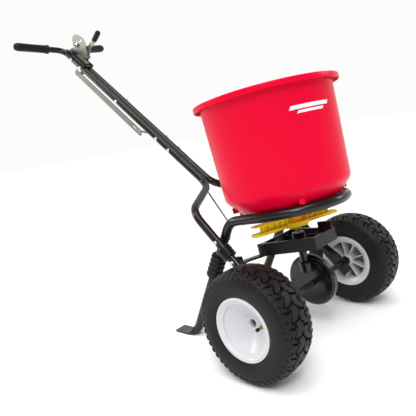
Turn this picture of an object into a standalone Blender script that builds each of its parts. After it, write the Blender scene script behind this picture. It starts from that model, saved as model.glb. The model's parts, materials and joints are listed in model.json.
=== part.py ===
"""Broadcast garden spreader on two pneumatic wheels, with a tubular push handle.

Row frame: +X forward, +Y to the left wheel, +Z up, origin at the bottom centre of the box.
Almost everything hangs on the chassis frame: its origin is the middle of the axle, and it
leans back by LEAN, as the spreader does when it is parked on its two feet. The hopper, the
impeller shaft and the gear case share the chassis frame's Z axis.
"""
import math

import bmesh
import bpy
from mathutils import Matrix, Vector

# Driving dimensions, in metres and radians.
CENTRE_SHIFT = 0.3802      # axle's X in the row frame
LEAN = -0.1174             # chassis turn about Y when parked on the feet
TYRE_R = 0.1145
WHEEL_Y = 0.219
AXLE_R = 0.00635
RUNNING_GAP = 0.0003
GAP = 0.0003

HOPPER_BASE_Z = 0.2264
HOPPER_LIP_Z = 0.4595
HOPPER_BASE_R = 0.1475
HOPPER_TOP_R = 0.1568
HOPPER_LIP_R = 0.1721
HOPPER_WALL = 0.003
FLOOR_Z = 0.190
FLOOR_R = 0.110

FRAME_TUBE_R = 0.011
RING_R = 0.128
RING_Z = 0.190
SIDE_RUN_X = -0.085
HANDLE_TUBE_R = 0.0098
LOWER_HANDLE_Y = 0.1505
POLE_Y = 0.0102

SHAFT_R = 0.005
IMPELLER_Z = 0.1465
IMPELLER_R = 0.115
UPPER_DECK_R = 0.112
WEB_REACH = 0.096
ARM_TURN = math.radians(247)
BRACE_TOP = 0.120
BRACE_DEPTH = 0.028

GEAR_TEETH = 36
PINION_TEETH = 9
GEAR_PITCH_R = 0.044
PINION_PITCH_R = GEAR_PITCH_R * PINION_TEETH / GEAR_TEETH
CASE_R = 0.060
CASE_RISE = 0.008

BOLT_R = 0.003
HOLE_R = 0.0033

# Points of the handle pole, in the chassis frame: (x, z).
POLE_LOW = Vector((-0.319, 0.362))
POLE_HIGH = Vector((-0.748, 0.8195))
GRIP_END = Vector((-0.775, 0.172, 0.8405))

COLOURS = {
    "red_plastic": ((0.80, 0.004, 0.03), 0.25, 0.0),
    "black_paint": ((0.012, 0.011, 0.010), 0.30, 0.0),
    "black_plastic": ((0.022, 0.022, 0.024), 0.50, 0.0),
    "rubber": ((0.018, 0.018, 0.019), 0.85, 0.0),
    "white_plastic": ((0.80, 0.79, 0.77), 0.40, 0.0),
    "yellow_plastic": ((0.90, 0.55, 0.01), 0.35, 0.0),
    "zinc": ((0.55, 0.54, 0.48), 0.38, 0.9),
    "brass": ((0.60, 0.42, 0.16), 0.35, 0.9),
    "nylon": ((0.70, 0.68, 0.60), 0.50, 0.0),
}


def clear_scene():
    for item in list(bpy.data.objects):
        bpy.data.objects.remove(item, do_unlink=True)


def new_collection(name):
    made = bpy.data.collections.new(name)
    bpy.context.scene.collection.children.link(made)
    return made


def make_materials():
    made = {}
    for name, (colour, roughness, metallic) in COLOURS.items():
        material = bpy.data.materials.new(name)
        material.use_nodes = True
        shader = material.node_tree.nodes["Principled BSDF"]
        shader.inputs["Base Color"].default_value = (*colour, 1.0)
        shader.inputs["Roughness"].default_value = roughness
        shader.inputs["Metallic"].default_value = metallic
        made[name] = material
    return made


clear_scene()
PARTS = new_collection("garden_spreader")
CUTTERS = new_collection("cutters")
MATERIALS = make_materials()
CUTTERS.hide_render = True


def empty(name, location, rotation=(0, 0, 0), parent=None):
    item = bpy.data.objects.new(name, None)
    item.location = location
    item.rotation_euler = rotation
    item.parent = parent
    PARTS.objects.link(item)
    return item


def place(item, collection, parent, location, rotation):
    item.parent = parent
    item.location = location
    item.rotation_euler = rotation
    collection.objects.link(item)
    if collection is CUTTERS:
        item.hide_render = True
        item.display_type = "WIRE"
    return item


def mesh_object(name, shape, material, parent, location=(0, 0, 0), rotation=(0, 0, 0),
                collection=None):
    """Turn a bmesh into an object of one material."""
    bmesh.ops.recalc_face_normals(shape, faces=shape.faces)
    mesh = bpy.data.meshes.new(name)
    shape.to_mesh(mesh)
    shape.free()
    mesh.materials.append(MATERIALS[material])
    mesh.shade_smooth()
    mesh.set_sharp_from_angle(angle=math.radians(35))
    item = bpy.data.objects.new(name, mesh)
    return place(item, collection or PARTS, parent, location, rotation)


def turned(name, profile, material, parent, location=(0, 0, 0), rotation=(0, 0, 0),
           steps=32, closed=True, collection=None):
    """Turn a profile of (radius, height) about local Z; its outer side runs downward."""
    mesh = bpy.data.meshes.new(name)
    points = [(r, 0.0, z) for r, z in profile]
    edges = [(i, i + 1) for i in range(len(points) - 1)]
    if closed:
        edges.append((len(points) - 1, 0))
    mesh.from_pydata(points, edges, [])
    mesh.materials.append(MATERIALS[material])
    item = bpy.data.objects.new(name, mesh)
    place(item, collection or PARTS, parent, location, rotation)
    screw = item.modifiers.new("turn", "SCREW")
    screw.axis = "Z"
    screw.steps = steps
    screw.render_steps = steps
    screw.use_merge_vertices = True
    screw.merge_threshold = 0.00001
    screw.use_smooth_shade = True
    return item


def disc(name, radius, low, high, material, parent, location=(0, 0, 0), rotation=(0, 0, 0),
         steps=16, bore=0.0, collection=None):
    """A plain cylinder, or a ring when it has a bore, from low to high on local Z."""
    if bore:
        profile = [(bore, high), (radius, high), (radius, low), (bore, low)]
        return turned(name, profile, material, parent, location, rotation, steps, True, collection)
    profile = [(0.0, high), (radius, high), (radius, low), (0.0, low)]
    return turned(name, profile, material, parent, location, rotation, steps, False, collection)


def box(name, size, material, parent, location=(0, 0, 0), rotation=(0, 0, 0), collection=None,
        bevel=0.0):
    shape = bmesh.new()
    bmesh.ops.create_cube(shape, size=1.0, matrix=Matrix.Diagonal((*size, 1.0)))
    if bevel:
        bmesh.ops.bevel(shape, geom=shape.edges[:], offset=bevel, segments=1, affect="EDGES")
    return mesh_object(name, shape, material, parent, location, rotation, collection)


def extruded(name, outline, low, high, material, parent, location=(0, 0, 0),
             rotation=(0, 0, 0), collection=None):
    """A flat outline in local XY, raised from low to high on local Z."""
    shape = bmesh.new()
    corners = [shape.verts.new((x, y, low)) for x, y in outline]
    base = shape.faces.new(corners)
    raised = bmesh.ops.extrude_face_region(shape, geom=[base])
    moved = [v for v in raised["geom"] if isinstance(v, bmesh.types.BMVert)]
    bmesh.ops.translate(shape, verts=moved, vec=(0, 0, high - low))
    return mesh_object(name, shape, material, parent, location, rotation, collection)


def baked(item):
    """The object's evaluated mesh, as a new bmesh in its parent's frame."""
    bpy.context.view_layer.update()
    graph = bpy.context.evaluated_depsgraph_get()
    shape = bmesh.new()
    shape.from_mesh(item.evaluated_get(graph).to_mesh())
    rotation = item.rotation_euler.to_matrix().to_4x4()
    shape.transform(Matrix.Translation(item.location) @ rotation)
    return shape


def boolean(target, other, operation):
    """Add an EXACT Boolean; a cutter or a joined piece is moved to the guides."""
    tool = target.modifiers.new(other.name, "BOOLEAN")
    tool.operation = operation
    tool.solver = "EXACT"
    tool.object = other
    if other.name in PARTS.objects:
        PARTS.objects.unlink(other)
        CUTTERS.objects.link(other)
    other.hide_render = True
    other.display_type = "WIRE"


def rounded(points, radius, steps=3):
    """Round each inner corner of a path of 3-D points with an arc."""
    points = [Vector(p) for p in points]
    path = [points[0]]
    for before, corner, after in zip(points, points[1:], points[2:]):
        into = (corner - before).normalized()
        out = (after - corner).normalized()
        half = into.angle(out) / 2
        if half < 0.02:
            path.append(corner)
            continue
        reach = radius * math.tan(half)
        reach = min(reach, 0.45 * (corner - before).length, 0.45 * (after - corner).length)
        start, end = corner - into * reach, corner + out * reach
        for step in range(steps + 1):
            t = step / steps
            path.append(start * (1 - t) ** 2 + corner * 2 * t * (1 - t) + end * t ** 2)
    path.append(points[-1])
    return path


def swept(name, path, sizes, material, parent, side=(0, 1, 0), sides=12):
    """Sweep a round section, pressed flat where its two half sizes differ.

    sizes holds (half size along side, half size across it) for each point of the path.
    """
    shape = bmesh.new()
    rings = []
    first = Vector(side)
    for i, point in enumerate(path):
        along = (path[min(i + 1, len(path) - 1)] - path[max(i - 1, 0)]).normalized()
        first = (first - along * along.dot(first)).normalized()
        second = along.cross(first)
        wide, thick = sizes[i]
        circle = max(wide, thick)
        ring = []
        for k in range(sides):
            angle = math.tau * (k + 0.5) / sides
            u = max(-wide, min(wide, circle * math.cos(angle)))
            v = max(-thick, min(thick, circle * math.sin(angle)))
            ring.append(shape.verts.new(point + first * u + second * v))
        rings.append(ring)
    for near, far in zip(rings, rings[1:]):
        for k in range(sides):
            nxt = (k + 1) % sides
            shape.faces.new((near[k], near[nxt], far[nxt], far[k]))
    shape.faces.new(rings[0])
    shape.faces.new(rings[-1])
    return mesh_object(name, shape, material, parent)


def bolt(name, parent, location, rotation, grip, head_r=0.0062, material="zinc"):
    """A hex bolt along local Z with its nut run on; grip is the clamped length."""
    head, nut = 0.0045, 0.005
    profile = [(0.0, grip / 2 + GAP + head), (head_r, grip / 2 + GAP + head),
               (head_r, grip / 2 + GAP),
               (BOLT_R, grip / 2 + GAP), (BOLT_R, -grip / 2 - GAP), (head_r, -grip / 2 - GAP),
               (head_r, -grip / 2 - GAP - nut), (BOLT_R, -grip / 2 - GAP - nut),
               (BOLT_R, -grip / 2 - GAP - nut - 0.003), (0.0, -grip / 2 - GAP - nut - 0.003)]
    return turned(name, profile, material, parent, location, rotation, 6, False)


AXIS_LEFT = (-math.pi / 2, 0, 0)     # local Z points to the left wheel, +Y
AXIS_RIGHT = (math.pi / 2, 0, 0)     # local Z points to the right wheel, -Y

chassis = empty("chassis", (CENTRE_SHIFT, 0, TYRE_R), (0, LEAN, 0))
axle_line = empty("axle_line", (CENTRE_SHIFT, 0, TYRE_R))


def to_chassis(x, y, z):
    """A point relative to the axle's middle, level with the ground, in the chassis frame."""
    return Vector((x * math.cos(LEAN) - z * math.sin(LEAN), y,
                   x * math.sin(LEAN) + z * math.cos(LEAN)))


def along_pole(share, y=0.0):
    """A point on the handle pole: 0 at its lower joint and 1 at its upper bend."""
    flat = POLE_LOW.lerp(POLE_HIGH, share)
    return Vector((flat.x, y, flat.y))


# ---------------------------------------------------------------- wheels

RIM_PROFILE = [(0.0080, 0.0065), (0.0180, 0.0065), (0.0520, 0.0330), (0.0580, 0.0420),
               (0.0648, 0.0425), (0.0648, 0.0392), (0.0515, 0.0382), (0.0515, -0.0382),
               (0.0648, -0.0392), (0.0648, -0.0425), (0.0580, -0.0420), (0.0475, -0.0360),
               (0.0475, 0.0240), (0.0150, 0.0000), (0.0150, -0.0400),
               (AXLE_R + RUNNING_GAP, -0.0400), (AXLE_R + RUNNING_GAP, -0.0060),
               (0.0080, -0.0060)]
RIB_OUTLINE = [(0.0140, -0.0340), (0.0490, -0.0340), (0.0490, 0.0270), (0.0190, 0.0045),
               (0.0140, 0.0010)]
TYRE_OUTER = [(0.0519, 0.0270), (0.0519, 0.0376), (0.0652, 0.0388), (0.0665, 0.0430),
              (0.0820, 0.0465), (0.0980, 0.0440), (0.1090, 0.0350)]
TYRE_INNER = [(0.1040, 0.0320), (0.0880, 0.0405), (0.0650, 0.0330)]
RIBS = 9


def tyre_profile():
    outer = TYRE_OUTER + [(TYRE_R, 0.0)] + [(r, -w) for r, w in reversed(TYRE_OUTER)]
    inner = [(r, -w) for r, w in reversed(TYRE_INNER)] + [(0.1090, 0.0)] + TYRE_INNER
    return outer + inner


def make_wheel(side, y, turn):
    wheel = empty(side + "_wheel", (0, y, 0), turn, axle_line)
    turned(side + "_tyre", tyre_profile(), "rubber", wheel, steps=28)
    rim = turned(side + "_rim", RIM_PROFILE, "white_plastic", wheel, steps=24)
    ribs = bmesh.new()
    for number in range(RIBS):
        rib = extruded("rib", RIB_OUTLINE, -0.0014, 0.0014, "white_plastic", None,
                       rotation=(math.pi / 2, 0, 0))
        piece = baked(rib)
        piece.transform(Matrix.Rotation(math.tau * (number + 0.5) / RIBS, 4, "Z"))
        mesh = bpy.data.meshes.new("rib_copy")
        piece.to_mesh(mesh)
        ribs.from_mesh(mesh)
        piece.free()
        bpy.data.objects.remove(rib, do_unlink=True)
    rib_set = mesh_object(side + "_ribs", ribs, "white_plastic", wheel, collection=CUTTERS)
    boolean(rim, rib_set, "UNION")
    slot = box(side + "_pin_slot", (0.034, 0.0048, 0.012), "white_plastic", wheel,
               (0, 0, -0.0412), collection=CUTTERS)
    boolean(rim, slot, "DIFFERENCE")
    stem_at = (0.033, 0.004, 0.0)
    hole = disc(side + "_stem_hole", 0.0048, 0.005, 0.030, "white_plastic", wheel, stem_at,
                steps=12, collection=CUTTERS)
    boolean(rim, hole, "DIFFERENCE")
    stem = [(0.0, 0.0300), (0.0026, 0.0300), (0.0026, 0.0250), (0.0040, 0.0245),
            (0.0040, 0.0100), (0.0, 0.0100)]
    turned(side + "_valve_stem", stem, "brass", wheel, stem_at, steps=10, closed=False)
    cap = [(0.0, 0.0370), (0.0030, 0.0370), (0.0036, 0.0360), (0.0036, 0.0303), (0.0, 0.0303)]
    turned(side + "_valve_cap", cap, "black_plastic", wheel, stem_at, steps=10, closed=False)
    disc(side + "_axle_retainer", 0.0076, -0.0055, -0.0025, "zinc", wheel, steps=12,
         bore=AXLE_R + GAP)


def make_axle():
    length = WHEEL_Y - 0.001
    axle = disc("axle", AXLE_R, -length, length, "zinc", chassis, rotation=AXIS_LEFT, steps=24)
    pin_y = WHEEL_Y - 0.0375
    hole = disc("drive_pin_hole", 0.0022, -0.02, 0.02, "zinc", axle_line, (0, pin_y, 0),
                (0, math.pi / 2, 0), steps=10, collection=CUTTERS)
    boolean(axle, hole, "DIFFERENCE")
    disc("drive_pin", 0.0019, -0.0140, 0.0140, "zinc", axle_line, (0, pin_y, 0),
         (0, math.pi / 2, 0), steps=10)
    for side, sign in (("left", 1), ("right", -1)):
        inner = LOWER_HANDLE_Y - 0.0045
        outer = WHEEL_Y - 0.0400 - 0.0005
        profile = [(AXLE_R + RUNNING_GAP, outer), (0.0125, outer), (0.0125, LOWER_HANDLE_Y + 0.0033),
                   (0.0096, LOWER_HANDLE_Y + 0.0033), (0.0096, inner),
                   (AXLE_R + RUNNING_GAP, inner)]
        turn = AXIS_LEFT if sign > 0 else AXIS_RIGHT
        turned(side + "_axle_bushing", profile, "black_plastic", chassis, rotation=turn,
               steps=12)


# ---------------------------------------------------------------- frame and handle

def frame_half(sign):
    """One side of the hopper frame tube, from the toe of its foot to the side run."""
    toe = to_chassis(-0.332, 0, -TYRE_R + 0.0027)
    heel = to_chassis(-0.270, 0, -TYRE_R + 0.0027)
    y = sign * RING_R
    return [Vector((toe.x, y, toe.z)), Vector((heel.x, y, heel.z)),
            Vector((SIDE_RUN_X, y, RING_Z)), Vector((0, y, RING_Z))]


def make_frame_tube():
    right = rounded(frame_half(-1), 0.045)
    left = rounded(frame_half(1), 0.045)
    steps = 14
    arc = [Vector((RING_R * math.cos(a), RING_R * math.sin(a), RING_Z))
           for a in (math.pi * (k / steps - 0.5) for k in range(1, steps))]
    path = right + arc + left[::-1]
    sizes = []
    for point in path:
        flat = min(1.0, max(0.0, (point - right[0]).xz.length / 0.062 - 0.75) / 0.5)
        wide = FRAME_TUBE_R + (1 - flat) * 0.0055
        thick = 0.0027 + flat * (FRAME_TUBE_R - 0.0027)
        sizes.append((wide, thick))
    return swept("hopper_frame_tube", path, sizes, "black_paint", chassis, sides=10)


def make_lower_handle(side, sign):
    y = sign * LOWER_HANDLE_Y
    low = Vector((-0.319, sign * POLE_Y, 0.362))
    pole = (POLE_HIGH - POLE_LOW).normalized()
    plug_end = low + Vector((pole.x, 0, pole.y)) * 0.085
    bend_high = Vector((-0.236, sign * POLE_Y, 0.2735))
    bend_low = Vector((-0.172, y, 0.2284))
    tip = Vector((0.0165, y, -0.0205))
    start = Vector((-0.040, y, 0.0530))
    path = rounded([start, bend_low, bend_high, low], 0.06)
    sizes = [(HANDLE_TUBE_R, HANDLE_TUBE_R)] * len(path)
    flat = (0.0027, 0.0150)
    path = [tip, Vector((-0.0200, y, 0.0270))] + path + [low, plug_end]
    sizes = [flat, flat] + sizes + [(0.0074, 0.0074), (0.0074, 0.0074)]
    tube = swept(side + "_lower_handle", path, sizes, "black_paint", chassis, sides=10)
    hole = disc(side + "_bushing_hole", 0.0099, -0.02, 0.02, "zinc", chassis, (0, y, 0),
                AXIS_LEFT, steps=20, collection=CUTTERS)
    boolean(tube, hole, "DIFFERENCE")
    return tube


def make_upper_handle(side, sign):
    y = sign * POLE_Y
    foot = Vector((POLE_LOW.x, y, POLE_LOW.y))
    pole = (POLE_HIGH - POLE_LOW).normalized()
    foot = foot + Vector((pole.x, 0, pole.y)) * GAP
    bend = Vector((POLE_HIGH.x, y, POLE_HIGH.y))
    end = Vector((GRIP_END.x, sign * GRIP_END.y, GRIP_END.z))
    path = rounded([foot, bend, end - (end - bend).normalized() * 0.004], 0.035, steps=4)
    sizes = [(HANDLE_TUBE_R, HANDLE_TUBE_R)] * len(path)
    tube = swept(side + "_upper_handle", path, sizes, "black_paint", chassis,
                 side=(0.55, 0, 0.83), sides=10)
    turn = Vector((pole.x, 0, pole.y)).to_track_quat("Z", "Y").to_euler()
    bore = disc(side + "_plug_bore", 0.0078, -0.01, 0.088, "zinc", chassis, foot, turn,
                steps=12, collection=CUTTERS)
    boolean(tube, bore, "DIFFERENCE")
    return tube


def make_grip(side, sign):
    """A moulded sleeve over the handle's end, closed and domed at the outer end."""
    bend = Vector((POLE_HIGH.x, sign * POLE_Y, POLE_HIGH.y))
    end = Vector((GRIP_END.x, sign * GRIP_END.y, GRIP_END.z))
    out = (end - bend).normalized()
    length = 0.112
    inner = HANDLE_TUBE_R + 3 * GAP
    profile = [(0.0, length), (0.0080, length - 0.002), (0.0132, length - 0.009),
               (0.0132, 0.008), (0.0150, 0.006), (0.0150, 0.0),
               (inner, 0.0), (inner, length - 0.0035), (0.0, length - 0.0035)]
    turn = out.to_track_quat("Z", "Y").to_euler()
    turned(side + "_grip", profile, "rubber", chassis, end - out * length, turn, 14, False)


POLE_BOLTS = {"handle_bolt_lower": 0.066, "handle_bolt_joint": 0.157,
              "handle_bolt_middle": 0.480, "handle_bolt_upper": 0.812, "guide_bolt": 0.902}


def make_handle():
    tubes = []
    for side, sign in (("left", 1), ("right", -1)):
        lower = make_lower_handle(side, sign)
        upper = make_upper_handle(side, sign)
        make_grip(side, sign)
        tubes += [lower, upper]
    for name, share in POLE_BOLTS.items():
        spot = along_pole(share)
        bolt(name, chassis, spot, AXIS_RIGHT, 2 * (POLE_Y + HANDLE_TUBE_R))
        hole = disc(name + "_hole", HOLE_R, -0.05, 0.05, "zinc", chassis, spot, AXIS_LEFT,
                    steps=8, collection=CUTTERS)
        for tube in tubes:
            if share < 0.2 or "upper" in tube.name:
                boolean(tube, hole, "DIFFERENCE")
    return tubes


LEG_BOLT = (-0.1133, 0.1510)         # where a leg crosses a lower handle tube: (x, z)
BRACE_BOLT = (-0.0780, 0.1035)
BRACE_HALF = LOWER_HANDLE_Y - HANDLE_TUBE_R - 0.0035
BRACE_WALL = 0.005


def make_side_bolts(tubes, frame):
    for side, sign in (("left", 1), ("right", -1)):
        turn = AXIS_LEFT if sign > 0 else AXIS_RIGHT
        lower = next(t for t in tubes if t.name == side + "_lower_handle")
        middle = sign * (RING_R - FRAME_TUBE_R + LOWER_HANDLE_Y + HANDLE_TUBE_R) / 2
        clamp = LOWER_HANDLE_Y + HANDLE_TUBE_R - RING_R + FRAME_TUBE_R
        spot = Vector((LEG_BOLT[0], middle, LEG_BOLT[1]))
        bolt(side + "_leg_bolt", chassis, spot, turn, clamp)
        hole = disc(side + "_leg_hole", HOLE_R, -0.03, 0.03, "zinc", chassis, spot, turn,
                    steps=8, collection=CUTTERS)
        boolean(frame, hole, "DIFFERENCE")
        boolean(lower, hole, "DIFFERENCE")
        outside, inside = LOWER_HANDLE_Y + HANDLE_TUBE_R, BRACE_HALF - BRACE_WALL
        spot = Vector((BRACE_BOLT[0], sign * (outside + inside) / 2, BRACE_BOLT[1]))
        bolt(side + "_brace_bolt", chassis, spot, turn, outside - inside)
        hole = disc(side + "_brace_hole", HOLE_R, -0.03, 0.03, "zinc", chassis, spot, turn,
                    steps=8, collection=CUTTERS)
        boolean(lower, hole, "DIFFERENCE")


# ---------------------------------------------------------------- brace and gear case

def make_crossbrace():
    """A moulded tray, open above, with a shaft boss and a slim arm to each handle tube."""
    low, wall = BRACE_TOP - BRACE_DEPTH, BRACE_WALL
    arm_back, arm_front, arm_top = BRACE_BOLT[0] - 0.009, BRACE_BOLT[0] + 0.009, low + 0.0048
    half = [(-0.064, 0.056), (arm_back, BRACE_HALF - 0.030), (arm_back, BRACE_HALF),
            (arm_front, BRACE_HALF), (arm_front, BRACE_HALF - 0.026), (-0.048, 0.070),
            (0.070, 0.046)]
    outline = half + [(x, -y) for x, y in reversed(half)]
    brace = extruded("crossbrace", outline, low, BRACE_TOP, "black_plastic", chassis)
    inner = [(-0.064 + wall, 0.050), (-0.048, 0.0625), (0.070 - wall, 0.0400)]
    hollow = extruded("crossbrace_hollow", inner + [(x, -y) for x, y in reversed(inner)],
                      low + 0.004, BRACE_TOP + 0.01, "black_plastic", chassis,
                      collection=CUTTERS)
    boolean(brace, hollow, "DIFFERENCE")
    for side, sign in (("left", 1), ("right", -1)):
        reach = BRACE_HALF - wall - 0.0705
        step = box(side + "_arm_step", (0.050, reach, 0.040), "black_plastic", chassis,
                   (BRACE_BOLT[0], sign * (0.0705 + reach / 2), arm_top + 0.020),
                   collection=CUTTERS)
        boolean(brace, step, "DIFFERENCE")
        ear = box(side + "_ear_top", (0.050, 0.012, 0.030), "black_plastic", chassis,
                  (BRACE_BOLT[0], sign * (BRACE_HALF - 0.001), BRACE_BOLT[1] + 0.0075 + 0.015),
                  collection=CUTTERS)
        boolean(brace, ear, "DIFFERENCE")
    boss = disc("shaft_boss", 0.0150, low, BRACE_TOP + 0.004, "black_plastic", chassis,
                steps=20, collection=CUTTERS)
    boolean(brace, boss, "UNION")
    for number, y in enumerate((-0.028, 0.028)):
        rib = box("brace_rib_%d" % number, (0.131, 0.004, 0.018), "black_plastic", chassis,
                  (0.003, y, low + 0.011), collection=CUTTERS)
        boolean(brace, rib, "UNION")
    post = box("brace_post", (0.032, 0.009, 0.036), "black_plastic", chassis,
               (0.046, 0.0455, BRACE_TOP - 0.003), collection=CUTTERS)
    boolean(brace, post, "UNION")
    bore = disc("shaft_bore", 0.0095, 0.0, 0.2, "black_plastic", chassis, steps=16,
                collection=CUTTERS)
    boolean(brace, bore, "DIFFERENCE")
    for side, sign in (("left", 1), ("right", -1)):
        turn = AXIS_LEFT if sign > 0 else AXIS_RIGHT
        spot = (BRACE_BOLT[0], sign * BRACE_HALF, BRACE_BOLT[1])
        hole = disc(side + "_ear_hole", HOLE_R, -0.012, 0.03, "black_plastic", chassis, spot, turn,
                    steps=8, collection=CUTTERS)
        boolean(brace, hole, "DIFFERENCE")
    bushing = [(SHAFT_R + RUNNING_GAP, BRACE_TOP + 0.0065), (0.0130, BRACE_TOP + 0.0065),
               (0.0130, BRACE_TOP + 0.0043), (0.0092, BRACE_TOP + 0.0043),
               (0.0092, low + 0.002), (SHAFT_R + RUNNING_GAP, low + 0.002)]
    turned("shaft_bushing", bushing, "nylon", chassis, steps=16)


def make_gear_case():
    """Two round shells about the axle; the right one carries the pinion's housing."""
    r, wall = CASE_R, 0.0022
    hole = AXLE_R + RUNNING_GAP
    seam = 0.016
    back = [(0.0, 0.0245), (r - 0.004, 0.0245), (r, 0.0220), (r, seam + 0.0002),
            (r - wall, seam + 0.0002), (r - wall, 0.0222), (0.0, 0.0222)]
    left = turned("gear_case_left", back, "black_plastic", chassis, (0, 0, CASE_RISE),
                  AXIS_LEFT, 20, False)
    front = [(0.0, seam - 0.0002), (r, seam - 0.0002), (r, 0.0065), (r - 0.003, 0.0040),
             (0.0, 0.0040)]
    right = turned("gear_case_right", front, "black_plastic", chassis, (0, 0, CASE_RISE),
                   AXIS_LEFT, 20, False)
    tower = turned("pinion_tower", [(0.0, BRACE_TOP - BRACE_DEPTH - GAP),
                   (0.0098, BRACE_TOP - BRACE_DEPTH - GAP), (0.0098, 0.0570),
                   (0.0155, 0.0550), (0.0155, 0.0300), (0.0, 0.0300)], "black_plastic",
                   chassis, steps=16, closed=False, collection=CUTTERS)
    boolean(right, tower, "UNION")
    well = disc("pinion_well", 0.0135, 0.0330, 0.0520, "black_plastic", chassis, steps=16,
                collection=CUTTERS)
    boolean(right, well, "DIFFERENCE")
    tower_bore = disc("tower_bore", SHAFT_R + RUNNING_GAP, 0.05, 0.12, "black_plastic", chassis,
                      steps=16, collection=CUTTERS)
    boolean(right, tower_bore, "DIFFERENCE")
    room = disc("gear_room", r - wall, 0.0070, seam + 0.01, "black_plastic", chassis,
                (0, 0, CASE_RISE), AXIS_LEFT, 20, collection=CUTTERS)
    boolean(right, room, "DIFFERENCE")
    axle_hole = disc("case_axle_hole", hole, -0.05, 0.06, "black_plastic", chassis,
                     rotation=AXIS_LEFT, steps=20, collection=CUTTERS)
    boolean(right, axle_hole, "DIFFERENCE")
    boolean(left, axle_hole, "DIFFERENCE")


def toothed(name, count, root_r, tip_r, tooth_half, low, high, parent, turn, first, bore,
            thin=None):
    """A pinion: a hub with radial teeth, all in one outline."""
    outline = []
    for k in range(count):
        middle = first + math.tau * k / count
        root = tooth_half / root_r
        tip = (thin or tooth_half) / tip_r
        for radius, shift in ((root_r, -root), (tip_r, -tip), (tip_r, tip), (root_r, root)):
            outline.append((radius * math.cos(middle + shift), radius * math.sin(middle + shift)))
    gear = extruded(name, outline, low, high, "zinc", parent, rotation=turn)
    hole = disc(name + "_bore", bore, low - 0.01, high + 0.01, "zinc", parent, rotation=turn,
                steps=12, collection=CUTTERS)
    boolean(gear, hole, "DIFFERENCE")
    return gear


def make_gears():
    """A crown gear on the axle turns the pinion on the impeller shaft."""
    toothed("pinion", PINION_TEETH, 0.0090, PINION_PITCH_R + 0.0013, 0.0013, 0.0385, 0.0500,
            chassis, (0, 0, 0), math.pi / 2, SHAFT_R + 0.00025, thin=0.0008)
    disc_low, tooth_low = 0.0150, PINION_PITCH_R - 0.0015
    body = [(AXLE_R + 0.00025, 0.0212), (0.0120, 0.0212), (0.0125, 0.0195), (0.0485, 0.0195),
            (0.0485, disc_low), (AXLE_R + 0.00025, disc_low)]
    crown = turned("crown_gear", body, "zinc", chassis, rotation=AXIS_LEFT, steps=36)
    teeth = bmesh.new()
    for k in range(GEAR_TEETH):
        angle = math.tau * (k + 0.5) / GEAR_TEETH
        grown = bmesh.ops.create_cube(teeth, size=1.0)["verts"]
        for vert in grown:
            narrow = 0.0017 if vert.co.z < 0 else 0.0026
            radius = GEAR_PITCH_R + vert.co.x * 0.0084
            side = vert.co.y * narrow
            height = tooth_low if vert.co.z < 0 else disc_low + 0.001
            spot = Vector((radius, side, height))
            spot.rotate(Matrix.Rotation(angle, 3, "Z"))
            vert.co = spot
    tooth_set = mesh_object("crown_teeth", teeth, "zinc", chassis, rotation=AXIS_LEFT,
                            collection=CUTTERS)
    boolean(crown, tooth_set, "UNION")


# ---------------------------------------------------------------- impeller and hopper

def make_impeller():
    """A hub with two opposite arms, each a channel of two decks joined by a web."""
    bore = SHAFT_R + 0.00025
    profile = [(bore, 0.0225), (0.0140, 0.0225), (0.0160, 0.0060), (0.0300, 0.0060),
               (0.0300, -0.0060), (0.0150, -0.0060), (0.0120, -0.0120), (bore, -0.0120)]
    impeller = turned("impeller", profile, "yellow_plastic", chassis, (0, 0, IMPELLER_Z), steps=24)
    half, web, low, floor, ceiling, high = 0.0130, 0.0016, -0.0050, 0.0050, 0.0170, 0.0215
    right = [(half, low), (half, floor), (web, floor), (web, ceiling), (half, ceiling),
             (half, high)]
    section = right + [(-y, z) for y, z in reversed(right)]
    arms = extruded("impeller_arms", section, -IMPELLER_R, IMPELLER_R, "yellow_plastic", chassis,
                    (0, 0, IMPELLER_Z), (math.pi / 2, 0, ARM_TURN + math.pi / 2), CUTTERS)
    boolean(impeller, arms, "UNION")
    out = Vector((math.cos(ARM_TURN), math.sin(ARM_TURN), 0))
    for number, sign in enumerate((-1, 1)):
        for name, start, bottom, top in (("mouth", WEB_REACH, floor, ceiling),
                                         ("tip", UPPER_DECK_R, floor, high + 0.01)):
            size = (IMPELLER_R + 0.01 - start, 0.04, top - bottom)
            spot = out * sign * (start + size[0] / 2)
            cut = box("arm_%s_%d" % (name, number), size, "yellow_plastic", chassis,
                      spot + Vector((0, 0, IMPELLER_Z + (bottom + top) / 2)), (0, 0, ARM_TURN),
                      CUTTERS)
            boolean(impeller, cut, "DIFFERENCE")
    room = disc("impeller_bore", bore, 0.10, 0.20, "yellow_plastic", chassis, steps=24,
                collection=CUTTERS)
    boolean(impeller, room, "DIFFERENCE")


def make_shaft():
    top, low = 0.2220, 0.0345
    disc("impeller_shaft", SHAFT_R, low, top, "zinc", chassis, steps=16)
    hub = [(SHAFT_R + 0.00025, 0.2140), (0.0085, 0.2140), (0.0085, 0.2010),
           (SHAFT_R + 0.00025, 0.2010)]
    agitator = turned("agitator", hub, "zinc", chassis, steps=12)
    arm = disc("agitator_arm", 0.0025, 0.0070, 0.0420, "zinc", chassis, (0, 0, 0.2075),
               (0, math.pi / 2, 0), steps=8, collection=CUTTERS)
    boolean(agitator, arm, "UNION")


OUTLETS = ((-0.050, 0.030), (-0.058, 0.0), (-0.050, -0.030))
OUTLET_R = 0.011
PLATE_TRAVEL = 0.0253      # how far the shut-off plate slides forward to open


def outlet_cutter(name, radius, shift, low, high):
    holes = bmesh.new()
    for x, y in OUTLETS:
        spot = Matrix.Translation((x + shift, y, (low + high) / 2))
        bmesh.ops.create_cone(holes, cap_ends=True, segments=12, radius1=radius, radius2=radius,
                              depth=high - low, matrix=spot)
    return mesh_object(name, holes, "red_plastic", chassis, collection=CUTTERS)


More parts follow.
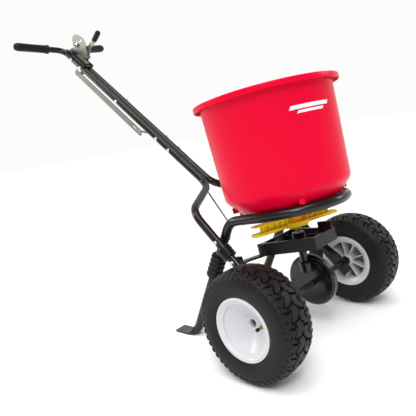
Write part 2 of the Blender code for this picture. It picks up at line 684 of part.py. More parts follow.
def make_hopper():
    w = HOPPER_WALL
    slope = 0.0036
    profile = [(HOPPER_TOP_R - w, HOPPER_LIP_Z), (HOPPER_LIP_R, HOPPER_LIP_Z),
               (HOPPER_LIP_R, HOPPER_LIP_Z - 0.0125), (HOPPER_LIP_R - w, HOPPER_LIP_Z - 0.0125),
               (HOPPER_LIP_R - w, HOPPER_LIP_Z - w), (HOPPER_TOP_R, HOPPER_LIP_Z - w),
               (HOPPER_BASE_R, HOPPER_BASE_Z + 0.008), (HOPPER_BASE_R - slope, HOPPER_BASE_Z),
               (FLOOR_R, FLOOR_Z), (0.0075, FLOOR_Z), (0.0075, FLOOR_Z + w),
               (FLOOR_R - 0.001, FLOOR_Z + w), (HOPPER_BASE_R - slope - 0.001, HOPPER_BASE_Z + w),
               (HOPPER_BASE_R - w, HOPPER_BASE_Z + 0.010)]
    hopper = turned("hopper", profile, "red_plastic", chassis, steps=36)
    lug_outline = [(0.1215, 0.2080), (0.1215, 0.2016), (0.1360, 0.2016), (0.1360, 0.2190)]
    lugs = bmesh.new()
    for angle in (45, 135, 225, 315):
        lug = extruded("lug", lug_outline, -0.006, 0.006, "red_plastic", None,
                       rotation=(math.pi / 2, 0, 0))
        piece = baked(lug)
        piece.transform(Matrix.Rotation(math.radians(angle), 4, "Z"))
        mesh = bpy.data.meshes.new("lug_copy")
        piece.to_mesh(mesh)
        lugs.from_mesh(mesh)
        piece.free()
        bpy.data.objects.remove(lug, do_unlink=True)
    lug_set = mesh_object("hopper_lugs", lugs, "red_plastic", chassis, collection=CUTTERS)
    boolean(hopper, lug_set, "UNION")
    boolean(hopper, outlet_cutter("outlets", OUTLET_R, 0.0, 0.17, 0.21), "DIFFERENCE")
    bushing = [(SHAFT_R + RUNNING_GAP, 0.1960), (0.0100, 0.1960), (0.0100, 0.1933),
               (0.0072, 0.1933), (0.0072, 0.1880), (SHAFT_R + RUNNING_GAP, 0.1880)]
    turned("hopper_bushing", bushing, "nylon", chassis, steps=12)


PLATE_TOP = FLOOR_Z - 0.0005
PLATE_THICK = 0.0016
TAB_X = -0.1515
TAB_SLOT_Z = PLATE_TOP - PLATE_THICK - 0.0220


def make_shutoff():
    """A zinc slide under the hopper's floor, between two guides screwed to the floor."""
    top, low = PLATE_TOP, PLATE_TOP - PLATE_THICK
    half = [(-0.152, 0.014), (-0.112, 0.014), (-0.100, 0.044), (-0.034, 0.044)]
    outline = half + [(x, -y) for x, y in reversed(half)]
    plate = extruded("shutoff_plate", outline, low, top, "zinc", chassis)
    gates = outlet_cutter("gates", OUTLET_R, -PLATE_TRAVEL, 0.18, 0.20)
    boolean(plate, gates, "DIFFERENCE")
    tab = box("plate_tab", (0.0016, 0.020, 0.034), "zinc", chassis,
              (TAB_X, 0.0, low - 0.0150), collection=CUTTERS)
    boolean(plate, tab, "UNION")
    slot = disc("tab_slot", 0.0042, -0.01, 0.01, "zinc", chassis, (TAB_X, 0.0, TAB_SLOT_Z),
                (0, math.pi / 2, 0), steps=12, collection=CUTTERS)
    boolean(plate, slot, "DIFFERENCE")
    for side, sign in (("left", 1), ("right", -1)):
        outline = [(sign * y, z) for y, z in
                   ((0.0450, FLOOR_Z - GAP), (0.0560, FLOOR_Z - GAP), (0.0560, 0.1858),
                    (0.0405, 0.1858), (0.0405, 0.1873), (0.0450, 0.1873))]
        extruded(side + "_plate_guide", outline, -0.088, -0.022, "black_plastic", chassis,
                 rotation=(math.pi / 2, 0, math.pi / 2))


# ---------------------------------------------------------------- rate control

PIVOT = Vector((-0.6712, 0.0, 0.7724))       # the rate lever's pivot
LEVER_Y = 0.0240                            # the lever runs down the pole's left side
LINK_ARM = 0.067                            # from the pivot to the link pin
LEVER_HALF_SWING = math.radians(8.13)
POLE_TURN = (POLE_HIGH - POLE_LOW).normalized()
POLE_ANGLE = math.atan2(POLE_TURN.y, POLE_TURN.x)     # of the pole, in the XZ plane
ALONG = Vector((POLE_TURN.x, 0, POLE_TURN.y))         # up the pole
ABOVE = Vector((-POLE_TURN.y, 0, POLE_TURN.x)) * (1 if POLE_TURN.x > 0 else -1)
SLOT_R = 0.056                              # the rate plate's slot, about the pivot
SLOT_FROM, SLOT_TO = math.radians(84), math.radians(124)
STOP_ANGLE = math.radians(119)


def in_xz(name, outline, low, high, material, location=(0, 0, 0), collection=None):
    """Extrude an outline of (x, z) points across Y, from low to high."""
    return extruded(name, outline, -high, -low, material, chassis, location,
                    (math.pi / 2, 0, 0), collection)


def arc_points(radius, start, end, steps=6):
    return [(radius * math.cos(a), radius * math.sin(a))
            for a in (start + (end - start) * k / steps for k in range(steps + 1))]


def strap(points, half):
    """The outline of a flat strap of constant width along (x, z) points."""
    left, right = [], []
    for i, point in enumerate(points):
        run = Vector(points[min(i + 1, len(points) - 1)]) - Vector(points[max(i - 1, 0)])
        across = Vector((-run.y, run.x)).normalized() * half
        left.append(tuple(Vector(point) + across))
        right.append(tuple(Vector(point) - across))
    return left + right[::-1]


def link_pin_spot():
    """The link pin at rest: behind the pivot's foot on the bar by half of the swing."""
    arm = -ABOVE * math.cos(LEVER_HALF_SWING) + ALONG * math.sin(LEVER_HALF_SWING)
    return PIVOT + arm * LINK_ARM


def make_rate_control():
    at = tuple(PIVOT)
    plate_y = 0.0120
    fan = [(-0.044, 0.080), (-0.036, 0.087), (-0.022, 0.086), (-0.004, 0.076),
           (0.012, 0.060), (0.020, 0.040), (0.016, 0.004), (0.000, -0.0135)]
    plate = in_xz("rate_plate", fan + [(-0.052, 0.0420)], plate_y - 0.001, plate_y + 0.001,
                  "zinc", at)
    foot = ABOVE * 0.0158 + along_pole(0.860)
    flange = box("rate_plate_foot", (0.060, 0.014, 0.0020), "zinc", chassis,
                 foot + Vector((0, plate_y - 0.006, 0)), (0, -POLE_ANGLE, 0), collection=CUTTERS)
    boolean(plate, flange, "UNION")
    slot = arc_points(SLOT_R + 0.0038, SLOT_FROM, SLOT_TO)
    slot += arc_points(SLOT_R - 0.0038, SLOT_TO, SLOT_FROM)
    slot_cut = in_xz("rate_slot", slot, -0.02, 0.04, "zinc", at, CUTTERS)
    boolean(plate, slot_cut, "DIFFERENCE")
    pivot_cut = disc("rate_pivot_hole", HOLE_R, -0.06, 0.06, "zinc", chassis, at, AXIS_LEFT,
                     steps=10, collection=CUTTERS)
    boolean(plate, pivot_cut, "DIFFERENCE")
    box("rate_bracket", (0.112, 0.036, 0.0040), "black_paint", chassis,
        along_pole(0.875) + ABOVE * (HANDLE_TUBE_R + 0.0024), (0, -POLE_ANGLE, 0), bevel=0.0008)
    make_lever(at, pivot_cut)
    grip_length = LEVER_Y + 0.0015 - plate_y + 0.001
    bolt("lever_pivot_bolt", chassis, (at[0], (LEVER_Y + 0.0015 + plate_y - 0.001) / 2, at[2]),
         AXIS_RIGHT, grip_length)
    disc("pivot_spacer", 0.0055, plate_y + 0.0013, LEVER_Y - 0.0018, "zinc", chassis,
         (at[0], 0, at[2]), AXIS_LEFT, 12, HOLE_R)
    make_rate_stop(at, plate_y)


def make_lever(at, pivot_cut):
    """A bent strap: down past the pole to the linkage bar, and up to its own grip."""
    pin = link_pin_spot() - PIVOT
    points = [(pin.x * 1.14, pin.z * 1.14), (0.0, 0.0), (0.020, 0.026), (0.052, 0.036),
              (0.070, 0.0455)]
    lever = in_xz("rate_lever", strap(points, 0.0075), LEVER_Y - 0.0015, LEVER_Y + 0.0015,
                  "zinc", at)
    boolean(lever, pivot_cut, "DIFFERENCE")
    spot = link_pin_spot()
    pin_hole = disc("link_pin_hole", 0.0024, -0.06, 0.06, "zinc", chassis,
                    spot, AXIS_LEFT, steps=10, collection=CUTTERS)
    boolean(lever, pin_hole, "DIFFERENCE")
    head = [(0.0, 0.0300), (0.0045, 0.0300), (0.0045, LEVER_Y + 0.0018),
            (0.0021, LEVER_Y + 0.0018), (0.0021, 0.0035), (0.0, 0.0035)]
    turned("link_pin", head, "zinc", chassis, spot, AXIS_LEFT, 10, False)
    out = (Vector((0.070, 0, 0.0455)) - Vector((0.052, 0, 0.036))).normalized()
    start = PIVOT + Vector((0.0535, LEVER_Y, 0.0368))
    knob = [(0.0, 0.0400), (0.0060, 0.0385), (0.0088, 0.0340), (0.0092, 0.0200), (0.0084, 0.0),
            (0.0, 0.0)]
    grip = turned("lever_grip", knob, "rubber", chassis, start,
                  out.to_track_quat("Z", "Y").to_euler(), 12, False)
    socket = in_xz("lever_socket", strap(points[:-1] + [(0.0706, 0.0458)], 0.0078),
                   LEVER_Y - 0.0018, LEVER_Y + 0.0018, "zinc", at, CUTTERS)
    boolean(grip, socket, "DIFFERENCE")


def make_rate_stop(at, plate_y):
    """A bolt with a wing nut, set along the slot, that limits how far the lever opens."""
    spot = Vector((at[0] + SLOT_R * math.cos(STOP_ANGLE), plate_y,
                   at[2] + SLOT_R * math.sin(STOP_ANGLE)))
    shank = [(0.0, 0.0145), (0.0060, 0.0145), (0.0060, 0.0013), (BOLT_R, 0.0013),
             (BOLT_R, -0.0140), (0.0, -0.0140)]
    turned("rate_stop_bolt", shank, "zinc", chassis, spot, AXIS_LEFT, 8, False)
    wing = [(-0.0150, 0.0040), (-0.0050, -0.0050), (0.0050, -0.0050), (0.0150, 0.0040),
            (0.0150, 0.0080), (0.0045, 0.0050), (-0.0045, 0.0050), (-0.0150, 0.0080)]
    nut = in_xz("wing_nut", wing, -0.0075, -0.0013, "zinc", tuple(spot))
    hole = disc("wing_hole", HOLE_R, -0.03, 0.03, "zinc", chassis, spot, AXIS_LEFT, steps=8,
                collection=CUTTERS)
    boolean(nut, hole, "DIFFERENCE")


def make_linkage():
    """A slotted flat bar below the pole, and a rod from it to the shut-off plate."""
    bar_y, half = 0.0070, 0.0012
    pin = link_pin_spot()
    rod_top = pin - ALONG * 0.356
    high, low = pin + ALONG * 0.012, rod_top - ALONG * 0.012
    bar = in_xz("linkage_bar", strap([(high.x, high.z), (low.x, low.z)], 0.0090),
                bar_y - half, bar_y + half, "zinc")
    pin_room = disc("pin_room", 0.0050, -0.03, 0.03, "zinc", chassis, pin, AXIS_LEFT, steps=12,
                    collection=CUTTERS)
    boolean(bar, pin_room, "DIFFERENCE")
    rod_room = disc("rod_room", 0.0055, -0.03, 0.03, "zinc", chassis, rod_top, AXIS_LEFT,
                    steps=12, collection=CUTTERS)
    boolean(bar, rod_room, "DIFFERENCE")
    slot_at = rod_top + ALONG * 0.024
    slot = box("bar_slot", (0.018, 0.03, 0.005), "zinc", chassis, slot_at, (0, -POLE_ANGLE, 0),
               collection=CUTTERS)
    boolean(bar, slot, "DIFFERENCE")
    beside = Vector((0, 0.0335, 0))
    eye = Vector((rod_top.x, 0.0, rod_top.z))
    path = [eye + Vector((0, 0.0030, 0)), eye + Vector((0, 0.0180, 0)),
            along_pole(0.22) - ABOVE * 0.024 + beside, along_pole(0.07) - ABOVE * 0.008 + beside,
            Vector((-0.262, 0.0200, 0.2350)), Vector((-0.205, 0, TAB_SLOT_Z)),
            Vector((-0.1415, 0, TAB_SLOT_Z))]
    points = rounded(path, 0.012, 2)
    sizes = [(0.0026, 0.0026)] * len(points)
    swept("linkage_rod", points, sizes, "zinc", chassis, side=(1, 0, 0), sides=8)
    stop = [(0.0058, 0.0020), (0.0058, -0.0020), (0.0029, -0.0020), (0.0029, 0.0020)]
    for name, x in (("rod_collar_front", TAB_X + 0.0060), ("rod_collar_rear", TAB_X - 0.0060)):
        turned(name, stop, "zinc", chassis, (x, 0, TAB_SLOT_Z), (0, math.pi / 2, 0), 10)


# ---------------------------------------------------------------- sleeves

def make_sleeves():
    """A banded sleeve on the right handle tube and a ribbed boot on the right leg."""
    y = -LOWER_HANDLE_Y
    high, low = Vector((LEG_BOLT[0], y, LEG_BOLT[1])), Vector((BRACE_BOLT[0], y, BRACE_BOLT[1]))
    down = (low - high).normalized()
    inner, outer, band = HANDLE_TUBE_R + 2 * GAP, 0.0145, 0.0168
    profile = [(inner, 0.0)]
    for k in range(3):
        start = k * 0.0068
        profile += [(band, start), (band, start + 0.0038), (outer, start + 0.0042),
                    (outer, start + 0.0064)]
    profile += [(band, 0.0204), (band, 0.0240), (inner, 0.0240)]
    turned("right_tube_sleeve", profile[::-1], "black_plastic", chassis, high + down * 0.0205,
           down.to_track_quat("Z", "Y").to_euler(), 14)
    heel = to_chassis(-0.270, 0, -TYRE_R + 0.0027)
    top = Vector((SIDE_RUN_X, -RING_R, RING_Z))
    leg = Vector((heel.x, -RING_R, heel.z)) - top
    inner, valley, crest = FRAME_TUBE_R + GAP, 0.0145, 0.0190
    profile = [(inner, 0.0)]
    for k in range(5):
        start = k * 0.0125
        profile += [(valley, start), (crest, start + 0.0035), (crest, start + 0.0080)]
    profile += [(valley, 0.0620), (inner, 0.0620)]
    turned("right_leg_boot", profile[::-1], "rubber", chassis, top + leg.normalized() * 0.092,
           leg.to_track_quat("Z", "Y").to_euler(), 14)


# ---------------------------------------------------------------- build

for wheel_side, wheel_y, wheel_turn in (("left", WHEEL_Y, AXIS_LEFT),
                                        ("right", -WHEEL_Y, AXIS_RIGHT)):
    make_wheel(wheel_side, wheel_y, wheel_turn)
make_axle()
frame_tube = make_frame_tube()
handle_tubes = make_handle()
make_side_bolts(handle_tubes, frame_tube)
make_crossbrace()
make_gear_case()
make_gears()
make_impeller()
make_shaft()
make_hopper()
make_shutoff()
make_rate_control()
make_linkage()
make_sleeves()
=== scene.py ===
"""Looks of the broadcast spreader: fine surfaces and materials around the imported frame."""
import json
import math

import bmesh
import bpy
from mathutils import Matrix, Vector


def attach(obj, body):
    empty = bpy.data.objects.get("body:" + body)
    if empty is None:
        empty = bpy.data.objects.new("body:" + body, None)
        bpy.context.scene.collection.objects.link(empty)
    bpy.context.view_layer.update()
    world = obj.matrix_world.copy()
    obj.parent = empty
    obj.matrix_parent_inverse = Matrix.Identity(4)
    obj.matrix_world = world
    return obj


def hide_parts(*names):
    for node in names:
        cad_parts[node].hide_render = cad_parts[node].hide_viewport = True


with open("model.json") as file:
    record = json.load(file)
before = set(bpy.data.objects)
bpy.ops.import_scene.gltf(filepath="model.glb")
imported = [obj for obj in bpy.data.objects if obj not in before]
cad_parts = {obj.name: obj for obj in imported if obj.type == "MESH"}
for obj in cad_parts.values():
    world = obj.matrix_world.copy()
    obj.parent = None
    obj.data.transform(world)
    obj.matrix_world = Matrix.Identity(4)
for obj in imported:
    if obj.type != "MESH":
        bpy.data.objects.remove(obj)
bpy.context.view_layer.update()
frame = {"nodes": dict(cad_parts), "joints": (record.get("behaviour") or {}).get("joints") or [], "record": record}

# The chassis frame: its origin is the middle of the axle, and it leans back when parked.
LEAN = -0.1174
AXLE = Vector(next(j for j in frame["joints"] if j["name"] == "axle_spin")["pos_m"])
CHASSIS = Matrix.Translation(AXLE) @ Matrix.Rotation(LEAN, 4, "Y")
LEVEL = Matrix.Translation(AXLE)
TO_LEFT = Matrix.Rotation(-math.pi / 2, 4, "X")       # local Z points along +Y
TO_RIGHT = Matrix.Rotation(math.pi / 2, 4, "X")       # local Z points along -Y

TYRE_R = 0.1145
WHEEL_Y = 0.219
AXLE_R = 0.00635
FRAME_TUBE_R = 0.011
RING_R = 0.128
RING_Z = 0.190
SIDE_RUN_X = -0.085
TUBE_R = 0.0098
LOWER_Y = 0.1505
POLE_Y = 0.0102
POLE_LOW = Vector((-0.319, 0, 0.362))
POLE_HIGH = Vector((-0.748, 0, 0.8195))
GRIP_END = Vector((-0.775, 0.172, 0.8405))
LIP_Z = 0.4595
ARM_TURN = math.radians(247)      # of the impeller's arms, at rest
IMPELLER_Z = 0.1465
FOOT_TOE_X = -0.332
FOOT_HEEL_X = -0.270
FOOT_HALF = 0.0027                # half of a flattened tube's thickness
LEG_BOLT = (-0.1133, 0.1510)      # x and z, in the chassis frame
BRACE_BOLT = (-0.0780, 0.1035)
LEVER_PIVOT = Vector((-0.6712, 0.0240, 0.7724))


# ---------------------------------------------------------------- camera, floor and lights

def make_camera():
    """The camera: azimuth, elevation and roll, placed from the middle of the axle."""
    azimuth, elevation, roll = 0.751, 0.0699, -0.1523
    back = Vector((math.sin(azimuth) * math.cos(elevation),
                   -math.cos(azimuth) * math.cos(elevation), math.sin(elevation)))
    right = Vector((math.cos(azimuth), math.sin(azimuth), 0))
    up = back.cross(right)
    turned_right = right * math.cos(roll) + up * math.sin(roll)
    turned_up = up * math.cos(roll) - right * math.sin(roll)
    data = bpy.data.cameras.new("camera")
    data.lens = 41.3
    data.sensor_width = 36
    data.shift_y = -0.115
    camera = bpy.data.objects.new("camera", data)
    axes = Matrix((turned_right, turned_up, back)).transposed().to_4x4()
    camera.matrix_world = Matrix.Translation(AXLE + Vector((0.6005, -0.9252, 0.3988))) @ axes
    bpy.context.scene.collection.objects.link(camera)
    bpy.context.scene.camera = camera


def make_stage():
    """A white floor, a studio lighter behind the spreader than before it, and the lamps."""
    bpy.ops.mesh.primitive_plane_add(size=30, location=(0, 0, -0.0005))
    floor = bpy.context.object
    floor.name = "floor"
    material = bpy.data.materials.new("floor")
    material.use_nodes = True
    shader = material.node_tree.nodes["Principled BSDF"]
    shader.inputs["Base Color"].default_value = (0.93, 0.93, 0.93, 1)
    shader.inputs["Roughness"].default_value = 0.8
    floor.data.materials.append(material)
    world = bpy.data.worlds.new("studio")
    world.use_nodes = True
    tree = world.node_tree
    place = tree.nodes.new("ShaderNodeTexCoord")
    aim = tree.nodes.new("ShaderNodeVectorMath")
    aim.operation = "DOT_PRODUCT"
    aim.inputs[1].default_value = (-0.68, 0.73, 0.0)
    tree.links.new(place.outputs["Generated"], aim.inputs[0])
    wall = tree.nodes.new("ShaderNodeMapRange")
    wall.interpolation_type = "SMOOTHSTEP"
    wall.inputs["From Min"].default_value = -0.1
    wall.inputs["From Max"].default_value = 0.75
    wall.inputs["To Min"].default_value = 0.42
    wall.inputs["To Max"].default_value = 0.97
    tree.links.new(aim.outputs["Value"], wall.inputs["Value"])
    tree.links.new(wall.outputs["Result"], tree.nodes["Background"].inputs["Strength"])
    tree.nodes["Background"].inputs["Color"].default_value = (1.0, 1.0, 1.0, 1)
    bpy.context.scene.world = world
    bpy.context.scene.view_settings.view_transform = "Standard"
    sky = bpy.data.lights.new("sky", "SUN")
    sky.energy = 1.9
    sky.angle = math.radians(50)
    lamp = bpy.data.objects.new("sky", sky)
    lamp.rotation_euler = (math.radians(16), math.radians(12), 0)
    bpy.context.scene.collection.objects.link(lamp)
    lamps = (("key", (1.9, -2.0, 2.4), 0.8, 36), ("side", (-2.2, -1.7, 1.6), 0.6, 22),
             ("rim", (1.8, 1.8, 1.4), 0.6, 10))
    for name, place, size, power in lamps:
        light = bpy.data.lights.new(name, "AREA")
        light.size = size
        light.energy = power
        lamp = bpy.data.objects.new(name, light)
        lamp.location = place
        aim = Vector((0.1, 0, 0.3)) - Vector(place)
        lamp.rotation_euler = aim.to_track_quat("-Z", "Y").to_euler()
        bpy.context.scene.collection.objects.link(lamp)


# ---------------------------------------------------------------- materials

def material(name, colour, roughness, metallic=0.0, vary=0.1, vary_scale=8.0, grain=0.0,
             grain_scale=400.0, rough_vary=0.1, second=None, gleam=0.5):
    """A material whose colour, gloss and fine bump all vary through noise."""
    made = bpy.data.materials.new(name)
    made.use_nodes = True
    tree = made.node_tree
    shader = tree.nodes["Principled BSDF"]
    shader.inputs["Metallic"].default_value = metallic
    shader.inputs["Specular IOR Level"].default_value = gleam
    place = tree.nodes.new("ShaderNodeTexCoord")
    cloud = tree.nodes.new("ShaderNodeTexNoise")
    cloud.inputs["Scale"].default_value = vary_scale
    cloud.inputs["Detail"].default_value = 6
    tree.links.new(place.outputs["Object"], cloud.inputs["Vector"])
    ramp = tree.nodes.new("ShaderNodeValToRGB")
    ramp.color_ramp.elements[0].position = 0.3
    ramp.color_ramp.elements[1].position = 0.7
    dark = [c * (1 - vary) for c in colour]
    light = second or [min(1.0, c * (1 + vary)) for c in colour]
    ramp.color_ramp.elements[0].color = (*dark, 1)
    ramp.color_ramp.elements[1].color = (*light, 1)
    tree.links.new(cloud.outputs["Fac"], ramp.inputs["Fac"])
    tree.links.new(ramp.outputs["Color"], shader.inputs["Base Color"])
    gloss = tree.nodes.new("ShaderNodeMapRange")
    gloss.inputs["To Min"].default_value = max(0.02, roughness - rough_vary / 2)
    gloss.inputs["To Max"].default_value = min(1.0, roughness + rough_vary / 2)
    tree.links.new(cloud.outputs["Fac"], gloss.inputs["Value"])
    tree.links.new(gloss.outputs["Result"], shader.inputs["Roughness"])
    if grain:
        fine = tree.nodes.new("ShaderNodeTexNoise")
        fine.inputs["Scale"].default_value = grain_scale
        fine.inputs["Detail"].default_value = 4
        tree.links.new(place.outputs["Object"], fine.inputs["Vector"])
        bump = tree.nodes.new("ShaderNodeBump")
        bump.inputs["Strength"].default_value = grain
        bump.inputs["Distance"].default_value = 0.0006
        tree.links.new(fine.outputs["Fac"], bump.inputs["Height"])
        tree.links.new(bump.outputs["Normal"], shader.inputs["Normal"])
    return made


LOOKS = {
    "red_plastic": material("red_plastic", (0.70, 0.0, 0.026), 0.30, vary=0.03, vary_scale=3,
                            grain=0.06, grain_scale=70, rough_vary=0.06, gleam=0.09,
                            second=(0.74, 0.0, 0.030)),
    "black_paint": material("black_paint", (0.010, 0.0080, 0.0065), 0.20, vary=0.3,
                            vary_scale=30, grain=0.08, grain_scale=260, rough_vary=0.08,
                            gleam=0.34),
    "black_plastic": material("black_plastic", (0.007, 0.007, 0.008), 0.32, vary=0.2,
                              vary_scale=25, grain=0.30, grain_scale=700, gleam=0.2),
    "gloss_plastic": material("gloss_plastic", (0.006, 0.006, 0.008), 0.13, vary=0.2,
                              vary_scale=25, grain=0.05, grain_scale=240, gleam=0.45),
    "rubber": material("rubber", (0.009, 0.0078, 0.0080), 0.46, vary=0.3, vary_scale=22,
                       grain=0.45, grain_scale=520, rough_vary=0.2, gleam=0.20),
    "grip_rubber": material("grip_rubber", (0.007, 0.0065, 0.0065), 0.40, vary=0.2,
                            vary_scale=30, grain=0.3, grain_scale=600, gleam=0.2),
    "white_plastic": material("white_plastic", (0.58, 0.58, 0.60), 0.30, vary=0.03,
                              vary_scale=7, grain=0.08, grain_scale=150, gleam=0.4),
    "yellow_plastic": material("yellow_plastic", (1.0, 0.74, 0.0), 0.34, vary=0.05,
                               vary_scale=14, grain=0.05, grain_scale=120, gleam=0.3,
                               second=(1.0, 0.86, 0.004)),
    "zinc": material("zinc", (0.21, 0.21, 0.18), 0.45, metallic=0.5, vary=0.06,
                     vary_scale=18, rough_vary=0.12, second=(0.25, 0.245, 0.205)),
    "steel": material("steel", (0.035, 0.035, 0.037), 0.42, metallic=0.4, vary=0.2,
                      vary_scale=40, grain=0.05, grain_scale=300),
    "bright_zinc": material("bright_zinc", (0.62, 0.63, 0.66), 0.25, metallic=0.95, vary=0.1,
                            vary_scale=60, grain=0.05, grain_scale=300),
    "brass": material("brass", (0.50, 0.28, 0.10), 0.34, metallic=0.9, vary=0.2,
                      vary_scale=80, grain=0.1, grain_scale=300),
    "nylon": material("nylon", (0.52, 0.50, 0.44), 0.45, vary=0.06, vary_scale=30, grain=0.1),
    "decal": material("decal", (0.86, 0.84, 0.85), 0.35, vary=0.02, vary_scale=40, grain=0.03),
}


# ---------------------------------------------------------------- mesh tools

def finished(name, shape, look, body, matrix=CHASSIS, replaces=(), sharp=32):
    """Make a bmesh an object that rides on a body and stands for CAD nodes."""
    bmesh.ops.recalc_face_normals(shape, faces=shape.faces)
    shape.transform(matrix)
    mesh = bpy.data.meshes.new(name)
    shape.to_mesh(mesh)
    shape.free()
    mesh.materials.append(LOOKS[look])
    mesh.shade_smooth()
    mesh.set_sharp_from_angle(angle=math.radians(sharp))
    piece = bpy.data.objects.new(name, mesh)
    bpy.context.scene.collection.objects.link(piece)
    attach(piece, body)
    if replaces:
        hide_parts(*replaces)
    return piece


def lathe(shape, profile, steps=72, matrix=None, closed=False):
    """Turn (radius, height) points about local Z; points on the axis become poles."""
    rings = []
    for radius, height in profile:
        if radius < 1e-6:
            rings.append([shape.verts.new((0, 0, height))])
            continue
        rings.append([shape.verts.new((radius * math.cos(math.tau * k / steps),
                                       radius * math.sin(math.tau * k / steps), height))
                      for k in range(steps)])
    pairs = list(zip(rings, rings[1:]))
    if closed:
        pairs.append((rings[-1], rings[0]))
    for near, far in pairs:
        for k in range(steps):
            nxt = (k + 1) % steps
            if len(near) == 1 and len(far) == 1:
                break
            if len(near) == 1:
                shape.faces.new((near[0], far[nxt], far[k]))
            elif len(far) == 1:
                shape.faces.new((near[k], near[nxt], far[0]))
            else:
                shape.faces.new((near[k], near[nxt], far[nxt], far[k]))
    if matrix is not None:
        verts = [v for ring in rings for v in ring]
        bmesh.ops.transform(shape, matrix=matrix, verts=verts)
    return rings


def softened(profile, radius, steps=3, closed=False):
    """Round the corners of a profile of (radius, height) points."""
    points = [Vector(p) for p in profile]
    count = len(points)
    made = []
    for i, corner in enumerate(points):
        if not closed and i in (0, count - 1):
            made.append(tuple(corner))
            continue
        before, after = points[i - 1], points[(i + 1) % count]
        into, out = corner - before, after - corner
        reach = min(radius, into.length * 0.45, out.length * 0.45)
        start, end = corner - into.normalized() * reach, corner + out.normalized() * reach
        for step in range(steps + 1):
            t = step / steps
            made.append(tuple(start * (1 - t) ** 2 + corner * 2 * t * (1 - t) + end * t ** 2))
    return made


def turned(name, profile, look, body, local=None, matrix=CHASSIS, steps=72, soften=0.0,
           closed=True, replaces=None):
    shape = bmesh.new()
    if soften:
        profile = softened(profile, soften, closed=closed)
    lathe(shape, profile, steps, local, closed)
    nodes = (name.replace("_fine", ""),) if replaces is None else replaces
    return finished(name, shape, look, body, matrix, nodes)


def rounded(points, radius, steps=10):
    """Round each inner corner of a path of 3-D points."""
    points = [Vector(p) for p in points]
    path = [points[0]]
    for before, corner, after in zip(points, points[1:], points[2:]):
        into, out = (corner - before).normalized(), (after - corner).normalized()
        half = into.angle(out) / 2
        if half < 0.02:
            path.append(corner)
            continue
        reach = min(radius * math.tan(half), 0.45 * (corner - before).length,
                    0.45 * (after - corner).length)
        start, end = corner - into * reach, corner + out * reach
        for step in range(steps + 1):
            t = step / steps
            path.append(start * (1 - t) ** 2 + corner * 2 * t * (1 - t) + end * t ** 2)
    path.append(points[-1])
    return path


def sweep(shape, path, sizes, side, sides=28):
    """Sweep a round section, pressed flat where its two half sizes differ."""
    rings = []
    first = Vector(side)
    for i, point in enumerate(path):
        along = (path[min(i + 1, len(path) - 1)] - path[max(i - 1, 0)]).normalized()
        first = (first - along * along.dot(first)).normalized()
        second = along.cross(first)
        wide, thick = sizes[i]
        circle = max(wide, thick)
        ring = []
        for k in range(sides):
            angle = math.tau * (k + 0.5) / sides
            u = max(-wide, min(wide, circle * math.cos(angle)))
            v = max(-thick, min(thick, circle * math.sin(angle)))
            ring.append(shape.verts.new(point + first * u + second * v))
        rings.append(ring)
    for near, far in zip(rings, rings[1:]):
        for k in range(sides):
            nxt = (k + 1) % sides
            shape.faces.new((near[k], near[nxt], far[nxt], far[k]))
    shape.faces.new(rings[0])
    shape.faces.new(rings[-1])


def tube(name, path, sizes, look, body, side=(0, 1, 0), replaces=None):
    shape = bmesh.new()
    sweep(shape, path, sizes, side)
    nodes = (name.replace("_fine", ""),) if replaces is None else replaces
    return finished(name, shape, look, body, replaces=nodes)


def block(shape, size, matrix, bevel=0.0008):
    """A box with rounded edges, added to a bmesh."""
    made = bmesh.ops.create_cube(shape, size=1.0)["verts"]
    bmesh.ops.scale(shape, vec=size, verts=made)
    edges = list({e for v in made for e in v.link_edges})
    grown = bmesh.ops.bevel(shape, geom=edges, offset=bevel, segments=2, affect="EDGES")
    verts = list({v for f in grown["faces"] for v in f.verts})
    island = set(verts)
    bmesh.ops.transform(shape, matrix=matrix, verts=list(island))


def to_chassis(x, y, z):
    """A point relative to the axle's middle, level with the ground, in the chassis frame."""
    return Vector((x * math.cos(LEAN) - z * math.sin(LEAN), y,
                   x * math.sin(LEAN) + z * math.cos(LEAN)))


def along_pole(share, y=0.0):
    point = POLE_LOW.lerp(POLE_HIGH, share)
    return Vector((point.x, y, point.z))


POLE_DIR = (POLE_HIGH - POLE_LOW).normalized()


def bevelled(name, width, look, body):
    """A copy of a CAD node's shape with every sharp edge rounded off."""
    shape = bmesh.new()
    shape.from_mesh(frame["nodes"][name].data)
    bmesh.ops.remove_doubles(shape, verts=shape.verts, dist=0.00002)
    bmesh.ops.dissolve_limit(shape, angle_limit=math.radians(1.5), verts=shape.verts,
                             edges=shape.edges)
    edges = [e for e in shape.edges
             if e.is_manifold and e.calc_face_angle(0.0) > math.radians(32)]
    bmesh.ops.bevel(shape, geom=edges, offset=width, segments=2, affect="EDGES",
                    clamp_overlap=True)
    return finished(name + "_fine", shape, look, body, Matrix.Identity(4), (name,))


# ---------------------------------------------------------------- tyres and rims

TYRE_SIDE = [(0.0519, 0.0272), (0.0522, 0.0374), (0.0600, 0.0380), (0.0650, 0.0395),
             (0.0668, 0.0430), (0.0720, 0.0448), (0.0820, 0.0463), (0.0900, 0.0462),
             (0.0960, 0.0450), (0.1010, 0.0430), (0.1050, 0.0404), (0.1082, 0.0370)]
TREAD_EDGE = (0.1082, 0.0370)
PITCHES = 24
GROOVE = 0.0052


def wave(x):
    """A triangle wave from -1 to 1 with period 1."""
    return 4 * abs((x % 1.0) - 0.5) - 1


